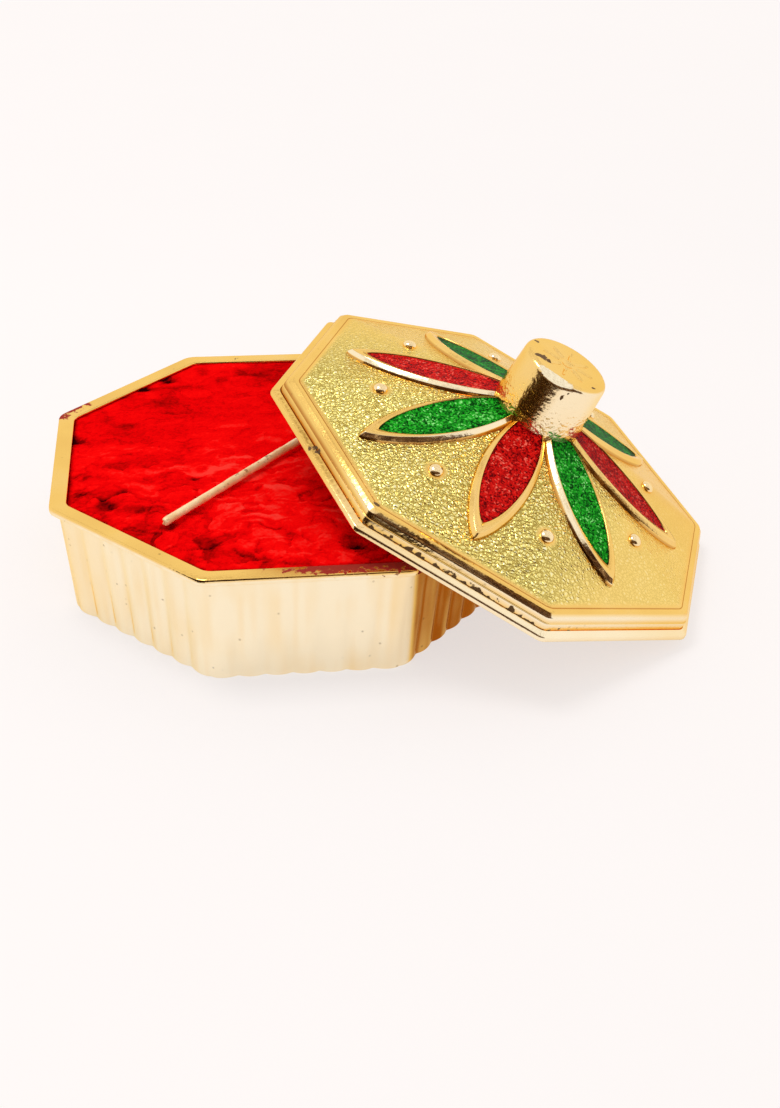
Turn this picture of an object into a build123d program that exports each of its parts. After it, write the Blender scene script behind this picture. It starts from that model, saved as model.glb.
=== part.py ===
"""Eight-sided kumkum box: a fluted base full of red powder, a stick on it, and the lid lying off.

Millimetres, +Z up. The origin is the middle of the base's underside, which stands on the floor at Z = 0.
The lid is drawn on its own tilted plane, so that its lowest corner stands on the floor beside the base.
"""

import os
from math import atan2, cos, degrees, radians, sin, tan

from build123d import *

os.makedirs("parts", exist_ok=True)

# Base: a moulded dish with a flat flange for a rim and upright ribs round its wall
base_width = 60.0  # rim, across flats
base_height = 15.5
rim_band = 2.1  # top of the rim, from its outer edge to the mouth
rim_thickness = 0.9
rim_edge_round = 0.25
wall_thickness = 1.1
wall_lean = 1.1  # how much further in the wall stands at its foot, on each side
floor_thickness = 1.4
rim_corner_round = 2.4
mouth_corner_round = 2.0
ribs_per_side = 7
rib_depth = 0.3

# Kumkum: the powder that fills the base
powder_drop = 0.4  # from the rim down to the powder at the wall
powder_heap = 0.4  # how much higher the powder is in the middle
powder_slope_run = 5.0  # width of the sloping border of the heap
powder_clearance = 0.05

# Stick: lies on the powder and is short enough for the closed box
stick_diameter = 1.2
stick_heading = 47.7  # degrees from +X, from its bare tip to its far end
stick_tip_gap = 3.4  # from the mouth to the tip
stick_far_gap = 10.4  # from the mouth to the far end
stick_offset = -0.3  # from the middle of the box to its line, positive to its left
stick_clearance = 0.15

# Lid: a stepped edge round a low eight-sided roof
lip_height = 0.95
lid_corner_round = 1.6
lid_ledge = 0.9  # from the lip's side in to the upper side
lid_side_height = 3.2
lid_edge_round = 0.5
lid_band = 1.5  # smooth border between the upper side and the field
roof_rise = 7.0
lid_wall = 1.3
lid_clearance = 0.25  # round the tabs that centre the lid in the mouth
tab_length = 8.0
tab_thickness = 1.0
tab_depth = 1.2
tab_count = 4

# Knob: pressed into a boss in the middle of the lid
knob_diameter = 12.2
knob_height = 8.3
knob_narrowing = 0.4  # from foot to top, on each side
knob_edge_round = 0.9
knob_seat_clearance = 0.1
knob_tail_diameter = 4.0
knob_tail_clearance = 0.05
boss_wall = 1.2
boss_depth = 2.5  # below the underside of the roof
flower_petals = 8  # narrow hollows pressed into the knob's top
flower_depth = 0.25
flower_petal_length = 2.6
flower_petal_width = 0.6
flower_petal_start = 1.1  # from the knob's axis to the inner end of a petal
flower_eye_diameter = 1.5

# Raised petals on the lid, one for each flat, with enamel in their hollows
petal_root = 3.5  # how far the outline of the enamel runs on under the knob
petal_tip_gap = 3.6  # from the tip of the enamel to the edge of the field
petal_half_width = 2.8
petal_flank = 0.9  # how much the gold foot stands out round the enamel
petal_ridge = 0.25  # gold edge left round the enamel at the top
petal_height = 0.75
enamel_pocket_depth = 0.4
enamel_drop = 0.15  # enamel surface below the gold edge
enamel_clearance = 0.03

# Dots: small domes moulded on the lid, one towards each corner
dot_edge_gap = 7.6  # from the middle of a dot to the edge of the field, along the flats
dot_radius = 0.9

# How the lid leans
lid_tilt = 25.05  # degrees from level
lid_heading = -16.75  # degrees from +X, downhill
lid_spin = -6.0  # degrees about its own axis, so that one corner of its low flat is lowest
lean_clearance = 0.65  # between the base's rim corner and the plane of the lip
rim_corner_inset = 0.8  # from the side of the lip in to that corner

sides = 8
side_angle = 360 / sides
overlap = 0.5  # how far pieces that grow out of each other are sunk together
corner_ratio = tan(radians(side_angle / 2))  # half a side's length for each unit of half width

mouth_width = base_width - 2 * rim_band
wall_top_width = mouth_width + 2 * wall_thickness
wall_foot_width = wall_top_width - 2 * wall_lean
wall_top = base_height - rim_thickness


def octagon(width, round_radius=0.0):
    """Eight-sided sketch, flats square to X and Y, with rounded corners where a radius is given."""
    RegularPolygon(radius=width / 2, side_count=sides, major_radius=False, rotation=side_angle / 2)
    if round_radius > 0:
        fillet(vertices(), radius=round_radius)


def cavity_width(height):
    """Inside width of the base at a height: the wall leans in evenly from the mouth to the foot."""
    return mouth_width - 2 * wall_lean * (base_height - height) / base_height


def ribbed_outline(width):
    """Face of the wall's plan: each side is a row of shallow arcs whose crests lie on the given width."""
    valley = width / 2 - rib_depth
    half_side = valley * corner_ratio
    pitch = 2 * half_side / ribs_per_side
    with BuildSketch(mode=Mode.PRIVATE) as outline:
        with BuildLine():
            for side in range(sides):
                turn = Rot(Z=side * side_angle)
                for rib in range(ribs_per_side):
                    start = -half_side + rib * pitch
                    crest = (valley + rib_depth, start + pitch / 2)
                    ends = [(valley, start), crest, (valley, start + pitch)]
                    ThreePointArc(*[(turn * Pos(*end)).position for end in ends])
        make_face()
    return outline.sketch


# Base
with BuildPart() as base:
    with BuildSketch(Plane.XY):
        add(ribbed_outline(wall_foot_width))
    with BuildSketch(Plane.XY.offset(wall_top)):
        add(ribbed_outline(wall_top_width))
    loft(ruled=True)
    with BuildSketch(Plane.XY.offset(wall_top)):
        octagon(base_width, rim_corner_round)
    extrude(amount=rim_thickness)
    fillet(edges().group_by(Axis.Z)[-1], radius=rim_edge_round)
    with BuildSketch(Plane.XY.offset(floor_thickness)):
        octagon(cavity_width(floor_thickness), mouth_corner_round)
    with BuildSketch(Plane.XY.offset(base_height)):
        octagon(mouth_width, mouth_corner_round)
    loft(ruled=True, mode=Mode.SUBTRACT)
base.part.label = "base"
export_step(base.part, "parts/base.step")

# Kumkum
powder_edge = base_height - powder_drop
powder_top = powder_edge + powder_heap
with BuildPart() as kumkum:
    with BuildSketch(Plane.XY.offset(floor_thickness)):
        octagon(cavity_width(floor_thickness) - 2 * powder_clearance, mouth_corner_round)
    with BuildSketch(Plane.XY.offset(powder_edge)):
        octagon(cavity_width(powder_edge) - 2 * powder_clearance, mouth_corner_round)
    loft(ruled=True)
    with BuildSketch(Plane.XY.offset(powder_edge)):
        octagon(cavity_width(powder_edge) - 2 * powder_clearance, mouth_corner_round)
    with BuildSketch(Plane.XY.offset(powder_top)):
        octagon(cavity_width(powder_edge) - 2 * powder_slope_run, mouth_corner_round)
    loft(ruled=True)
kumkum.part.label = "kumkum"
export_step(kumkum.part, "parts/kumkum.step")

# Stick
stick_radius = stick_diameter / 2
stick_length = mouth_width - stick_tip_gap - stick_far_gap
stick_tip_distance = mouth_width / 2 - stick_tip_gap
stick_height = powder_top + stick_clearance + stick_radius
stick_turn = Rot(Z=stick_heading)
stick_tip = (Pos(0, 0, stick_height) * stick_turn * Pos(-stick_tip_distance, stick_offset)).position
stick_line = Vector(cos(radians(stick_heading)), sin(radians(stick_heading)), 0)
with BuildPart() as stick:
    with BuildSketch(Plane(origin=stick_tip, z_dir=stick_line)):
        Circle(stick_radius)
    extrude(amount=stick_length)
    fillet(edges().filter_by(GeomType.CIRCLE), radius=stick_radius * 0.4)
stick.part.label = "stick"
export_step(stick.part, "parts/stick.step")

# Where the lid leans: its lowest corner on the floor, its lip just over the base's front right rim corner
lid_width = base_width
low_corner_turn = radians(side_angle / 2 + lid_spin)
corner_reach = (lid_width / 2 - lid_corner_round) / cos(radians(side_angle / 2))
lid_rest_height = (corner_reach * cos(low_corner_turn) + lid_corner_round) * sin(radians(lid_tilt))
lid_turn = Rot(Z=lid_heading) * Rot(Y=lid_tilt) * Rot(Z=lid_spin)
rim_corner = Vector(base_width / 2 * corner_ratio, -base_width / 2, base_height)
contact_across = lid_width / 2 - rim_corner_inset
contact_offset = (lid_turn * Pos(0, -contact_across, -lean_clearance)).position
contact_drop = lid_rest_height - base_height + contact_offset.Z
contact_along = contact_drop / (sin(radians(lid_tilt)) * cos(radians(lid_spin)))
contact = (lid_turn * Pos(contact_along, -contact_across, -lean_clearance)).position
lid_middle = rim_corner - contact
lid_place = Pos(lid_middle.X, lid_middle.Y, lid_rest_height) * lid_turn
lid_plane = Plane(lid_place)
lid_axis = Axis(lid_plane.origin, lid_plane.z_dir)

# Sizes of the lid in its own frame, heights from the plane of its lip
shoulder_width = lid_width - 2 * lid_ledge
field_width = shoulder_width - 2 * lid_band
plateau_width = knob_diameter + 2 * knob_seat_clearance
plateau_height = lid_side_height + roof_rise
roof_run = (field_width - plateau_width) / 2
roof_slope = degrees(atan2(roof_rise, roof_run))
lid_inner_width = mouth_width - 2 * lid_clearance
ceiling_edge = lid_side_height - lid_wall
ceiling_top = plateau_height - lid_wall
boss_bottom = ceiling_top - boss_depth
knob_top = plateau_height + knob_height
enamel_floor = petal_height - enamel_pocket_depth
knob_radius = knob_diameter / 2
tail_radius = knob_tail_diameter / 2
petal_start = knob_radius - petal_root
petal_end = field_width / 2 - petal_tip_gap
dot_distance = field_width / 2 - dot_edge_gap
dot_rise = (field_width / 2 - dot_distance * cos(radians(side_angle / 2))) * roof_rise / roof_run
dot_spot = Pos(dot_distance, 0, lid_side_height + dot_rise)


def facet_plane(angle, lift):
    """Plane on one slope of the roof, raised by lift: origin over the lid's axis, X downhill."""
    on_axis = Pos(0, 0, plateau_height + plateau_width / 2 * tan(radians(roof_slope)))
    return Plane(lid_place * Rot(Z=angle) * on_axis * Rot(Y=roof_slope)).offset(lift)


def leaf(outset):
    """Pointed leaf of two arcs along X, measured on the slope, grown all round by outset."""
    stretch = 1 / cos(radians(roof_slope))
    start = (petal_start - outset) * stretch
    end = (petal_end + outset) * stretch
    half_width = petal_half_width + outset
    middle = (start + end) / 2
    with BuildSketch(mode=Mode.PRIVATE) as outline:
        with BuildLine():
            ThreePointArc((start, 0), (middle, half_width), (end, 0))
            ThreePointArc((end, 0), (middle, -half_width), (start, 0))
        make_face()
    return outline.sketch


# Lid
with BuildPart() as lid:
    with BuildSketch(lid_plane):
        octagon(lid_width, lid_corner_round)
    extrude(amount=lip_height)
    with BuildSketch(lid_plane.offset(lip_height)):
        octagon(shoulder_width, lid_corner_round)
    extrude(amount=lid_side_height - lip_height)
    fillet(faces().sort_by(lid_axis)[-1].edges(), radius=lid_edge_round)
    with BuildSketch(lid_plane.offset(lid_side_height)):
        octagon(field_width)
    with BuildSketch(lid_plane.offset(plateau_height)):
        octagon(plateau_width)
    loft(ruled=True)
    for side in range(sides):
        with BuildSketch(facet_plane(side * side_angle, -overlap)):
            add(leaf(petal_flank))
        with BuildSketch(facet_plane(side * side_angle, petal_height)):
            add(leaf(petal_ridge))
        loft(ruled=True)
    for side in range(sides):
        with BuildSketch(facet_plane(side * side_angle, enamel_floor)):
            add(leaf(0))
        extrude(amount=enamel_pocket_depth + overlap, mode=Mode.SUBTRACT)
    with Locations([lid_place * Rot(Z=(side + 0.5) * side_angle) * dot_spot for side in range(sides)]):
        Sphere(dot_radius)
    with BuildSketch(lid_plane.offset(plateau_height)):
        Circle(knob_radius + knob_seat_clearance)
    extrude(amount=knob_height, mode=Mode.SUBTRACT)
    with BuildSketch(lid_plane):
        octagon(lid_inner_width)
    extrude(amount=ceiling_edge, mode=Mode.SUBTRACT)
    with BuildSketch(lid_plane.offset(ceiling_edge)):
        octagon(field_width)
    with BuildSketch(lid_plane.offset(ceiling_top)):
        octagon(plateau_width)
    loft(ruled=True, mode=Mode.SUBTRACT)
    with BuildSketch(lid_plane.offset(boss_bottom)):
        Circle(tail_radius + boss_wall)
    extrude(amount=boss_depth + overlap)
    with BuildSketch(lid_plane.offset(boss_bottom)):
        Circle(tail_radius + knob_tail_clearance)
    extrude(amount=plateau_height - boss_bottom, mode=Mode.SUBTRACT)
    with BuildSketch(lid_plane.offset(-tab_depth)):
        with PolarLocations(lid_inner_width / 2 - tab_thickness / 2, tab_count, side_angle):
            Rectangle(tab_thickness, tab_length)
    extrude(amount=tab_depth + ceiling_edge + overlap)
lid.part.label = "lid"
export_step(lid.part, "parts/lid.step")

# Enamel: a thin glittering fill in each petal's hollow, red towards the flats that lie along X and Y
for side in range(sides):
    with BuildPart() as enamel:
        with BuildSketch(facet_plane(side * side_angle, enamel_floor)):
            add(leaf(-enamel_clearance))
        extrude(amount=enamel_pocket_depth - enamel_drop)
        with BuildSketch(lid_plane.offset(plateau_height - overlap)):
            Circle(knob_radius + 2 * knob_seat_clearance)
        extrude(amount=knob_height, mode=Mode.SUBTRACT)
    colour = "green" if side % 2 else "red"
    enamel.part.label = f"{colour}_enamel_{side // 2 + 1}"
    export_step(enamel.part, f"parts/{enamel.part.label}.step")

# Knob
with BuildPart() as knob:
    with BuildSketch(lid_plane.offset(plateau_height)):
        Circle(knob_radius)
    with BuildSketch(lid_plane.offset(knob_top)):
        Circle(knob_radius - knob_narrowing)
    loft()
    fillet(edges().sort_by(lid_axis)[-1], radius=knob_edge_round)
    with BuildSketch(lid_plane.offset(knob_top - flower_depth)):
        with PolarLocations(flower_petal_start + flower_petal_length / 2, flower_petals):
            Ellipse(flower_petal_length / 2, flower_petal_width / 2)
        Circle(flower_eye_diameter / 2)
    extrude(amount=flower_depth + overlap, mode=Mode.SUBTRACT)
    with BuildSketch(lid_plane.offset(boss_bottom)):
        Circle(tail_radius)
    extrude(amount=plateau_height - boss_bottom)
knob.part.label = "knob"
export_step(knob.part, "parts/knob.step")
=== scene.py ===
"""Kumkum box with its lid off, as the photograph shows it. Lengths are in millimetres until a mesh is made."""

import bpy
import numpy as np
from mathutils import Matrix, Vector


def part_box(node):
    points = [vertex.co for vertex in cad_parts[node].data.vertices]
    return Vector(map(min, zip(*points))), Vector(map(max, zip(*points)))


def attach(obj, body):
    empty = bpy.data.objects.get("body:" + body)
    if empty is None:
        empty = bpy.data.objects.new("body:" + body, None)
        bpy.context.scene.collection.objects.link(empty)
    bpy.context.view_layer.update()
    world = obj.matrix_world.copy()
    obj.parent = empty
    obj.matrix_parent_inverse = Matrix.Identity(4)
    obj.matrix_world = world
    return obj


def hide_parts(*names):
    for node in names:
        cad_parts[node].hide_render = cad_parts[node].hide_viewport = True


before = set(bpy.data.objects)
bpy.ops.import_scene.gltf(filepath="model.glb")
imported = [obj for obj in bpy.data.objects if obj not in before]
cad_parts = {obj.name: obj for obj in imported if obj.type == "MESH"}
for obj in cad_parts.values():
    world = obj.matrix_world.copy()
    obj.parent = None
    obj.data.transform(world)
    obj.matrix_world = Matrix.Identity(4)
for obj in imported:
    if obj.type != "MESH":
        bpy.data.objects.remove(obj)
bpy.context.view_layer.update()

# Base: a dish moulded in plastic and plated gold in a vacuum. Its rim is a flat flange, its wall has shallow upright
# ribs that scallop the foot and fade upwards, and red powder has been spilt on the rim. Its gold carries painted
# light and shade: the wall is lighter towards the front and darker under the lid and in the rib valleys, and the front
# rim's inner edge is darker and red near the lid, partly spilt powder and partly painted shade and reflection.
base_low, base_high = (np.array(corner) * 1000 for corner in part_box("base"))
rim_half = (base_high[0] - base_low[0]) / 2
rim_top = base_high[2]
rim_corner_round, mouth_corner_round, wall_corner_round = 2.4, 2.0, 1.3
rim_band, flange_thickness, wall_thickness, wall_lean = 2.1, 0.9, 1.1, 1.1
mouth_half = rim_half - rim_band
wall_half = mouth_half + wall_thickness
foot_half = wall_half - wall_lean
flange_under = rim_top - flange_thickness
base_floor, floor_middle = 1.4, 2.0
rib_depth, rib_fade = 0.42, 0.6
front_bearing = np.radians(255)
# The gold's tones run from a dark orange painted shade through gold to an ivory painted light. The pebbles' shade and
# glint colours are painted shade and painted glints, the dark red of spilt powder is partly painted shade, and the
# bare brown also paints a dark reflection.
gold_tones = [(0.0, (0.42, 0.105, 0.006)), (0.5, (0.93, 0.60, 0.17)), (1.0, (1.0, 0.88, 0.64))]
grain_gold, grain_shade, grain_glint = (0.99, 0.86, 0.29), (0.42, 0.29, 0.05), (1.0, 0.98, 0.70)
edge_gold = (1.0, 0.86, 0.56)
bare_and_reflection_brown = (0.15, 0.075, 0.03)
dust_red = (0.34, 0.008, 0.005)

flats = 8
ribs = 7
per_flat = 12 * ribs
flat_turn = np.pi / flats
along = (np.arange(flats * per_flat) % per_flat + 0.5) / per_flat * 2 - 1
bearing = np.arctan(along * np.tan(flat_turn))
middle = np.arange(flats * per_flat) // per_flat * 2 * flat_turn


def ramp(value, start, end):
    """Share that is 0 at start and 1 at end, straight between them and held outside them."""
    return np.clip((value - start) / (end - start), 0, 1)


def octagon_reach(half, corner, turn):
    """Distance from the axis to an octagon with rounded corners, at an angle from the middle of a flat.
    On the flat it is half / cos(turn); past it, it is where that ray leaves the corner's circle."""
    centre = (half - corner) / np.cos(flat_turn)
    aside = flat_turn - np.abs(turn)
    on_circle = np.sqrt(np.maximum(corner**2 - (centre * np.sin(aside)) ** 2, 0)) + centre * np.cos(aside)
    on_flat = half * np.tan(np.abs(turn)) <= (half - corner) * np.tan(flat_turn)
    return np.where(on_flat, half / np.cos(turn), on_circle)


def rounded_section(corners, steps=6):
    """Line through corners of (distance, height, radius). Each corner becomes a quadratic curve that starts and
    ends one radius away from it."""
    places = np.array([corner[:2] for corner in corners], float)
    pieces = [places[:1]]
    for before, place, after, corner in zip(places, places[1:], places[2:], corners[1:]):
        start = place + (before - place) / np.linalg.norm(before - place) * corner[2]
        end = place + (after - place) / np.linalg.norm(after - place) * corner[2]
        t = np.linspace(0, 1, steps)[:, None] if corner[2] else np.zeros((1, 1))
        pieces.append((1 - t) ** 2 * start + 2 * t * (1 - t) * place + t**2 * end)
    return np.concatenate(pieces + [places[-1:]])


def octagon_rings(section, corner, shift=0.0):
    """Rings of points: a section carried round the octagon, each point moved out along its ray by shift."""
    reach = octagon_reach(section[:, :1], corner, bearing[None, :]) + shift
    height = np.broadcast_to(section[:, 1:], reach.shape)
    return np.stack([reach * np.cos(middle + bearing), reach * np.sin(middle + bearing), height], -1)


def ring_shell(rings, first=None, last=None):
    """Points and faces of a closed shell: rings joined by quads, and each end closed by a fan to one point, which is
    the middle of the end's ring where none is given."""
    count, size = rings.shape[:2]
    first = rings[0].mean(0) if first is None else first
    last = rings[-1].mean(0) if last is None else last
    here = np.arange(count * size).reshape(count, size)
    ahead = np.roll(here, -1, axis=1)
    quads = np.stack([here[:-1], ahead[:-1], ahead[1:], here[1:]], -1).reshape(-1, 4)
    start = np.stack([ahead[0], here[0], np.full(size, count * size)], -1)
    end = np.stack([here[-1], ahead[-1], np.full(size, count * size + 1)], -1)
    return np.concatenate([rings.reshape(-1, 3), [first], [last]]), [quads, start, end]


def smooth_noise(x, y, seed):
    """Random values from 0 to 1 on whole-number points, blended between them by 3t^2 - 2t^3. A number added to x or
    y only moves to another part of the noise."""
    table = np.random.default_rng(seed).random((97, 97))
    column, row = np.floor(x).astype(int), np.floor(y).astype(int)
    s, t = x - column, y - row
    s, t = s * s * (3 - 2 * s), t * t * (3 - 2 * t)
    low = table[column % 97, row % 97] * (1 - s) + table[(column + 1) % 97, row % 97] * s
    high = table[column % 97, (row + 1) % 97] * (1 - s) + table[(column + 1) % 97, (row + 1) % 97] * s
    return low * (1 - t) + high * t


def spots(points, marks):
    """Value 1 at each mark of (x, y, z, radius), falling to 0 at its radius; the greatest where marks meet."""
    marks = np.array(marks)
    gap = np.linalg.norm(points[:, None, :] - marks[None, :, :3], axis=-1)
    return np.clip(1.3 - 1.3 * gap / marks[:, 3], 0, 1).max(1)


def make_piece(name, points, faces, material, smooth=True, **fields):
    """Object from points in millimetres and arrays of faces, with one value a point for each named field."""
    mesh = bpy.data.meshes.new(name)
    mesh.from_pydata((points / 1000).tolist(), [], [face for part in faces for face in part.tolist()])
    mesh.polygons.foreach_set("use_smooth", np.full(len(mesh.polygons), smooth))
    for field_name, values in fields.items():
        mesh.attributes.new(field_name, "FLOAT", "POINT").data.foreach_set("value", np.asarray(values, np.float32))
    mesh.materials.append(material)
    made = bpy.data.objects.new(name, mesh)
    bpy.context.scene.collection.objects.link(made)
    return made


def connect(material, node, sockets):
    """Each named input of a node gets another node's output or a constant."""
    for name, value in sockets.items():
        if isinstance(value, bpy.types.NodeSocket):
            material.node_tree.links.new(value, node.inputs[name])
        else:
            node.inputs[name].default_value = value


def add_node(material, kind, sockets=None, **settings):
    """New shader node: settings are its properties, and sockets its inputs."""
    made = material.node_tree.nodes.new("ShaderNode" + kind)
    for name, value in settings.items():
        setattr(made, name, value)
    connect(material, made, sockets or {})
    return made


def new_material(name):
    """Material with one empty surface shader; returns it, its shader and its object coordinates."""
    material = bpy.data.materials.new(name)
    material.use_nodes = True
    shader = material.node_tree.nodes["Principled BSDF"]
    return material, shader, add_node(material, "TexCoord").outputs["Object"]


def noise(material, place, scale, detail):
    """Cloudy noise, about 0.5, with scale clouds to the metre."""
    return add_node(material, "TexNoise", {"Vector": place, "Scale": scale, "Detail": detail}).outputs["Fac"]


def sum_of(material, first, second):
    """Two values added."""
    return add_node(material, "Math", {0: first, 1: second}, operation="ADD").outputs[0]


def product_of(material, first, second):
    """Two values multiplied."""
    return add_node(material, "Math", {0: first, 1: second}, operation="MULTIPLY").outputs[0]


def carried(material, value, low, high, at_low, at_high):
    """Value carried from the range low to high over to the range at_low to at_high, and held at the ends."""
    return add_node(material, "MapRange", {"Value": value, 1: low, 2: high, 3: at_low, 4: at_high}).outputs[0]


def field(material, name):
    """Value that the mesh holds under this name, 0 where it holds none."""
    return add_node(material, "Attribute", attribute_name=name).outputs["Fac"]


def blend(material, share, first, second):
    """Colour between two colours, each a node's output or (red, green, blue)."""
    first, second = ((*colour, 1) if isinstance(colour, tuple) else colour for colour in (first, second))
    return add_node(material, "Mix", {0: share, 6: first, 7: second}, data_type="RGBA").outputs[2]


def colour_row(material, share, stops):
    """Colour read off a row of (share, colour) stops."""
    row = add_node(material, "ValToRGB", {"Fac": share})
    for number, (stop, colour) in enumerate(stops):
        mark = row.color_ramp.elements[number] if number < 2 else row.color_ramp.elements.new(stop)
        mark.position, mark.color = stop, (*colour, 1)
    return row.outputs["Color"]


def bumped(material, height, strength, depth, under=None):
    """Direction of a surface tilted by a height, depth metres deep at height 1, on top of another where given."""
    sockets = {"Height": height, "Strength": strength, "Distance": depth}
    if under is not None:
        sockets["Normal"] = under
    return add_node(material, "Bump", sockets).outputs[0]


def plated_gold(name, pinholes=0.0, ripple=0.00003, grain_depth=0.0):
    """Bright plating on plastic. A field of painted light and shade runs from a dark orange painted shade at -1 over
    gold at 0 to an ivory painted light at 1, with clouds. The field grain brings up pebbles with painted shade in the
    lines between them and a painted glint on the middle of each. A field of red powder lays spilt powder that is
    partly painted shade and reflection, and a field of bared plastic lays brown where the plating is broken off and
    where a dark reflection is painted. pinholes is how strongly pinholes show; ripple and grain_depth are the depths,
    in metres, of the skin's waves and the pebbles."""
    cloud_scale, hole_scale, rag_scale, peel_scale, ripple_scale = 110.0, 900.0, 1300.0, 420.0, 1900.0
    pebble_scale, wobble_scale, wobble_reach = 2000.0, 1500.0, 0.0006
    material, shader, place = new_material(name)
    clouds = noise(material, place, cloud_scale, 3.0)
    tone = sum_of(material, field(material, "pale"), carried(material, clouds, 0.3, 0.7, -0.1, 0.1))
    colour = colour_row(material, carried(material, tone, -1.0, 1.0, 0.0, 1.0), gold_tones)

    cells = add_node(material, "TexVoronoi", {"Vector": place, "Scale": hole_scale})
    pick = add_node(material, "SeparateColor", {"Color": cells.outputs["Color"]}).outputs[0]
    near = carried(material, cells.outputs["Distance"], 0.08, 0.2, pinholes, 0.0)
    holes = product_of(material, near, carried(material, pick, 0.82, 0.92, 0.0, 1.0))
    colour = blend(material, holes, colour, bare_and_reflection_brown)

    grain = field(material, "grain")
    wobble = add_node(material, "TexNoise", {"Vector": place, "Scale": wobble_scale, "Detail": 1.0}).outputs["Color"]
    shifted = {0: wobble, 1: (wobble_reach, wobble_reach, wobble_reach), 2: place}
    shifted = add_node(material, "VectorMath", shifted, operation="MULTIPLY_ADD").outputs[0]
    pebbles = {"Vector": shifted, "Scale": pebble_scale}
    inside = add_node(material, "TexVoronoi", pebbles, feature="DISTANCE_TO_EDGE").outputs["Distance"]
    # Painted shade in the lines between pebbles and a painted glint on the middle of each.
    line = product_of(material, carried(material, inside, 0.04, 0.15, 0.9, 0.0), grain)
    painted_glint = product_of(material, carried(material, inside, 0.25, 0.4, 0.0, 0.8), grain)
    colour = blend(material, grain, colour, grain_gold)
    colour = blend(material, line, colour, grain_shade)
    colour = blend(material, painted_glint, colour, grain_glint)

    ragged = carried(material, noise(material, place, rag_scale, 4.0), 0.3, 0.7, -0.42, 0.42)
    # Red powder spilt on the rim; along the front rim near the lid it also stands for painted shade and a reflection
    # of the powder.
    powder = carried(material, sum_of(material, field(material, "dust"), ragged), 0.45, 0.6, 0.0, 1.0)
    # Bared brown plastic where the plating is chipped, and a painted dark reflection along the front of the lid's
    # ledge.
    chips_and_dark_reflection = carried(material, sum_of(material, field(material, "worn"), ragged), 0.45, 0.55, 0.0, 1.0)
    colour = blend(material, chips_and_dark_reflection, blend(material, powder, colour, dust_red), bare_and_reflection_brown)
    gone = add_node(material, "Math", {0: powder, 1: chips_and_dark_reflection}, operation="MAXIMUM").outputs[0]
    metal = carried(material, gone, 0.0, 1.0, 1.0, 0.0)
    shine = carried(material, clouds, 0.3, 0.7, 0.08, 0.18)
    shine = sum_of(material, shine, product_of(material, grain, 0.12))
    rough = carried(material, gone, 0.0, 1.0, shine, 0.9)

    normal = bumped(material, noise(material, place, peel_scale, 1.0), 0.5, 0.00006)
    normal = bumped(material, noise(material, place, ripple_scale, 1.0), 0.5, ripple, normal)
    if grain_depth:
        pebble = carried(material, inside, 0.0, 0.35, 0.0, 1.0)
        normal = bumped(material, product_of(material, pebble, grain), 1.0, grain_depth, normal)
    connect(material, shader, {"Base Color": colour, "Metallic": metal, "Roughness": rough, "Normal": normal})
    connect(material, shader, {"Specular Tint": (*edge_gold, 1)})
    return material


up_wall = np.linspace(0.6, flange_under - 0.4, 9)
wall_side = [(foot_half + wall_lean * height / flange_under, height, 0) for height in up_wall]
wall = rounded_section([
    (floor_middle, 0, 0), (foot_half, 0, 0.3), *wall_side,
    (wall_half, flange_under, 0.15), (wall_half + 0.3, flange_under, 0),
])
rim = rounded_section([
    (rim_half - 0.5, flange_under, 0), (rim_half, flange_under, 0.2), (rim_half, rim_top - 0.5, 0.06),
    (rim_half - 0.05, rim_top, 0.25), (mouth_half, rim_top, 0.3),
    (foot_half - 1.0, base_floor, 0.3), (floor_middle, base_floor, 0),
])
across_rib = ((along + 1) / 2 * ribs) % 1 * 2 - 1
rib_depths = rib_depth * (1 - rib_fade * wall[:, 1:] / flange_under)
wall_rings = octagon_rings(wall, wall_corner_round, -rib_depths * across_rib**2)
wall_rings[0, :, :2] *= 0.5
rim_round = np.where(rim[:, :1] > mouth_half + 0.8, rim_corner_round, mouth_corner_round)
rings = np.concatenate([wall_rings, octagon_rings(rim, rim_round)])
points, faces = ring_shell(rings, (0, 0, 0), (0, 0, base_floor))

x, y, z = points.T
angle = np.arctan2(y, x)
valley = np.append(np.tile(np.abs(across_rib) ** 6, len(rings)), [0, 0])
fine_streak = smooth_noise(angle * wall_half / 0.7 + 300, z / 9, 11)
broad_streak = smooth_noise(angle * wall_half / 2.5 + 300, z / 5, 12)
streak = fine_streak + 0.6 * broad_streak - 0.8
# Painted light and shade on the sides of the wall and flange: lighter towards the front, with random streaks, and on
# the wall under the lid a painted shade that deepens to the right and in the valleys between the ribs.
facing = np.cos(angle - front_bearing)
below_rim, below_flange = ramp(z, rim_top - 0.15, rim_top - 0.5), ramp(z, flange_under + 0.3, flange_under)
on_side = np.where(facing > 0.6, below_rim, below_flange)
lid_shadow = ramp(x, 12.4, 13.2) * (y < -14)
front_light = np.where(facing > 0, 0.35 + 0.6 * facing, 0.3) + 0.3 * streak
lid_shade = -0.7 + 0.55 * streak - 0.7 * valley - 0.6 * ramp(x, 14, 23)
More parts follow.
